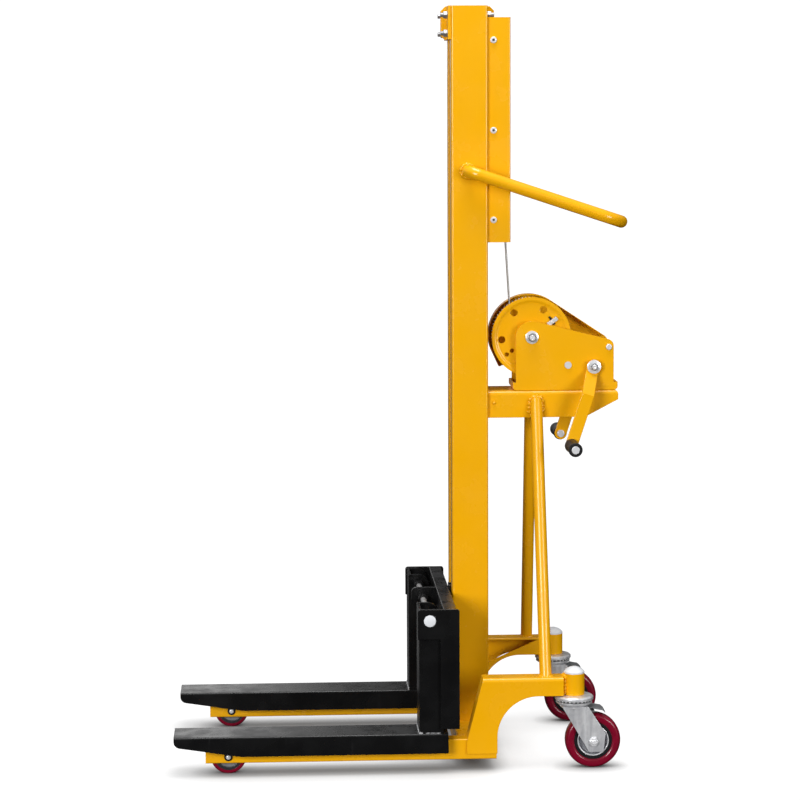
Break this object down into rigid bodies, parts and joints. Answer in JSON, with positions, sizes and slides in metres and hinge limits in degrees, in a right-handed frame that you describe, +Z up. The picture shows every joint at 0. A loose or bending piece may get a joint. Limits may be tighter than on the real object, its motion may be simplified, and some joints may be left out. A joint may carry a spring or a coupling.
{
  "type": "manual winch pallet stacker",
  "caption": "Manual winch stacker: wheeled base, channel mast, roller carriage with sliding forks, rope pulley, geared hand winch with cranks, push handle and braked swivel casters.",
  "frame": {"origin": "on the floor under the middle of the machine's length and width", "axes": "+X forward along the forks, +Y to the left side, +Z up"},
  "size_m": [1.04, 0.55, 1.712],
  "materials": {
    "yellow_paint": "semi-gloss yellow powder coat",
    "black_paint": "semi-gloss black paint",
    "zinc_plate": "bright zinc plate",
    "bright_steel": "ground steel",
    "wire_rope": "stranded galvanised wire",
    "pulley_iron": "turned cast iron",
    "white_plastic": "white moulded plastic",
    "wheel_core": "plated wheel core with a black rim",
    "red_tread": "glossy crimson polyurethane",
    "black_grip": "black moulded grip"
  },
  "bodies": {
    "chassis": {"mast_left": "yellow_paint", "mast_right": "yellow_paint", "mast_tie_plates": "yellow_paint", "pulley_bracket": "yellow_paint", "bracket_bolts": "zinc_plate", "pulley_axle": "bright_steel", "rope_guard": "yellow_paint", "guard_screws": "zinc_plate", "push_handle": "yellow_paint", "winch_platform": "yellow_paint", "platform_struts": "yellow_paint", "winch_frame": "yellow_paint", "winch_cover": "yellow_paint", "winch_screws": "zinc_plate", "drum_axle": "zinc_plate", "base_legs": "yellow_paint", "base_beam": "yellow_paint", "load_axles": "zinc_plate", "rear_brackets": "yellow_paint", "bracket_gussets": "yellow_paint", "caster_cups": "yellow_paint", "cup_caps": "white_plastic", "caster_stems": "zinc_plate", "lift_rope": "wire_rope"},
    "carriage": {"carriage_end_plates": "black_paint", "carriage_bars": "black_paint", "carriage_rod": "bright_steel", "carriage_spine": "black_paint", "carriage_pins": "bright_steel", "rope_front_fall": "wire_rope"},
    "upper_roller_left": {"roller_high_left": "bright_steel"},
    "upper_roller_right": {"roller_high_right": "bright_steel"},
    "lower_roller_left": {"roller_low_left": "bright_steel"},
    "lower_roller_right": {"roller_low_right": "bright_steel"},
    "pulley": {"rope_pulley": "pulley_iron"},
    "left_fork": {"fork_left": "black_paint"},
    "right_fork": {"fork_right": "black_paint"},
    "drum": {"winch_drum": "yellow_paint", "drum_gear": "zinc_plate", "rope_winding": "wire_rope", "rope_clamp": "zinc_plate"},
    "intermediate": {"intermediate_shaft": "bright_steel", "intermediate_gear": "zinc_plate"},
    "crank": {"crank_shaft": "bright_steel", "crank_arms": "yellow_paint", "crank_bolts": "zinc_plate"},
    "left_grip": {"crank_grip_left": "black_grip"},
    "right_grip": {"crank_grip_right": "black_grip"},
    "left_caster": {"caster_yoke_left": "zinc_plate"},
    "right_caster": {"caster_yoke_right": "zinc_plate"},
    "left_caster_wheel": {"caster_wheel_left": "wheel_core", "caster_tread_left": "red_tread"},
    "right_caster_wheel": {"caster_wheel_right": "wheel_core", "caster_tread_right": "red_tread"},
    "left_pedal": {"brake_pedal_left": "zinc_plate"},
    "right_pedal": {"brake_pedal_right": "zinc_plate"},
    "left_load_wheel": {"load_wheel_left": "wheel_core", "load_tread_left": "red_tread"},
    "right_load_wheel": {"load_wheel_right": "wheel_core", "load_tread_right": "red_tread"}
  },
  "joints": [
    {"name": "lift", "type": "slide", "parent": "chassis", "child": "carriage", "axis": [0, 0, 1], "range_m": [0, 1.2], "deforming": ["rope_front_fall"]},
    {"name": "upper_roller_left_spin", "type": "hinge", "parent": "carriage", "child": "upper_roller_left", "pos_m": [-0.159, 0.047, 0.335], "axis": [0, 1, 0], "range_deg": [0, 1889.87]},
    {"name": "lower_roller_left_spin", "type": "hinge", "parent": "carriage", "child": "lower_roller_left", "pos_m": [-0.159, 0.047, 0.165], "axis": [0, 1, 0], "range_deg": [-1889.87, 0]},
    {"name": "upper_roller_right_spin", "type": "hinge", "parent": "carriage", "child": "upper_roller_right", "pos_m": [-0.159, -0.047, 0.335], "axis": [0, 1, 0], "range_deg": [0, 1889.87]},
    {"name": "lower_roller_right_spin", "type": "hinge", "parent": "carriage", "child": "lower_roller_right", "pos_m": [-0.159, -0.047, 0.165], "axis": [0, 1, 0], "range_deg": [-1889.87, 0]},
    {"name": "pulley_spin", "type": "hinge", "parent": "chassis", "child": "pulley", "pos_m": [-0.184, 0, 1.674], "axis": [0, 1, 0], "range_deg": [-2218.9, 0]},
    {"name": "drum_spin", "type": "hinge", "parent": "chassis", "child": "drum", "pos_m": [-0.3024, 0, 0.961], "axis": [0, 1, 0], "range_deg": [0, 1618.76]},
    {"name": "intermediate_spin", "type": "hinge", "parent": "chassis", "child": "intermediate", "pos_m": [-0.38531, 0, 0.89657], "axis": [0, 1, 0], "range_deg": [-6876.49, 0]},
    {"name": "crank_spin", "type": "hinge", "parent": "chassis", "child": "crank", "pos_m": [-0.44397, 0, 0.89329], "axis": [0, 1, 0], "range_deg": [0, 16207.52]},
    {"name": "left_grip_spin", "type": "hinge", "parent": "crank", "child": "left_grip", "pos_m": [-0.3868, 0.156, 0.7184], "axis": [0, 1, 0], "continuous": true},
    {"name": "right_grip_spin", "type": "hinge", "parent": "crank", "child": "right_grip", "pos_m": [-0.3868, -0.156, 0.7184], "axis": [0, 1, 0], "continuous": true},
    {"name": "left_fork_slide", "type": "slide", "parent": "carriage", "child": "left_fork", "axis": [0, -1, 0], "range_m": [0, 0.018]},
    {"name": "right_fork_slide", "type": "slide", "parent": "carriage", "child": "right_fork", "axis": [0, 1, 0], "range_m": [0, 0.018]},
    {"name": "left_swivel", "type": "hinge", "parent": "chassis", "child": "left_caster", "pos_m": [-0.3815, 0.222, 0.15], "axis": [0, 0, 1], "continuous": true},
    {"name": "left_caster_roll", "type": "hinge", "parent": "left_caster", "child": "left_caster_wheel", "pos_m": [-0.4235, 0.222, 0.0625], "axis": [0, 1, 0], "continuous": true},
    {"name": "left_brake", "type": "hinge", "parent": "left_caster", "child": "left_pedal", "pos_m": [-0.4085, 0.222, 0.132], "axis": [0, -1, 0], "range_deg": [0, 8]},
    {"name": "left_load_roll", "type": "hinge", "parent": "chassis", "child": "left_load_wheel", "pos_m": [0.3987, 0.222, 0.04], "axis": [0, 1, 0], "continuous": true},
    {"name": "right_swivel", "type": "hinge", "parent": "chassis", "child": "right_caster", "pos_m": [-0.3815, -0.222, 0.15], "axis": [0, 0, 1], "continuous": true},
    {"name": "right_caster_roll", "type": "hinge", "parent": "right_caster", "child": "right_caster_wheel", "pos_m": [-0.4235, -0.222, 0.0625], "axis": [0, 1, 0], "continuous": true},
    {"name": "right_brake", "type": "hinge", "parent": "right_caster", "child": "right_pedal", "pos_m": [-0.4085, -0.222, 0.132], "axis": [0, -1, 0], "range_deg": [0, 8]},
    {"name": "right_load_roll", "type": "hinge", "parent": "chassis", "child": "right_load_wheel", "pos_m": [0.3987, -0.222, 0.04], "axis": [0, 1, 0], "continuous": true}
  ],
  "couplings": [
    {"joint": "upper_roller_left_spin", "follows": "lift", "rad_per_m": 27.473},
    {"joint": "lower_roller_left_spin", "follows": "lift", "rad_per_m": -27.473},
    {"joint": "upper_roller_right_spin", "follows": "lift", "rad_per_m": 27.473},
    {"joint": "lower_roller_right_spin", "follows": "lift", "rad_per_m": -27.473},
    {"joint": "pulley_spin", "follows": "lift", "rad_per_m": -32.258},
    {"joint": "drum_spin", "follows": "lift", "rad_per_m": 23.529},
    {"joint": "intermediate_spin", "follows": "lift", "rad_per_m": -100},
    {"joint": "crank_spin", "follows": "lift", "rad_per_m": 235.71}
  ]
}
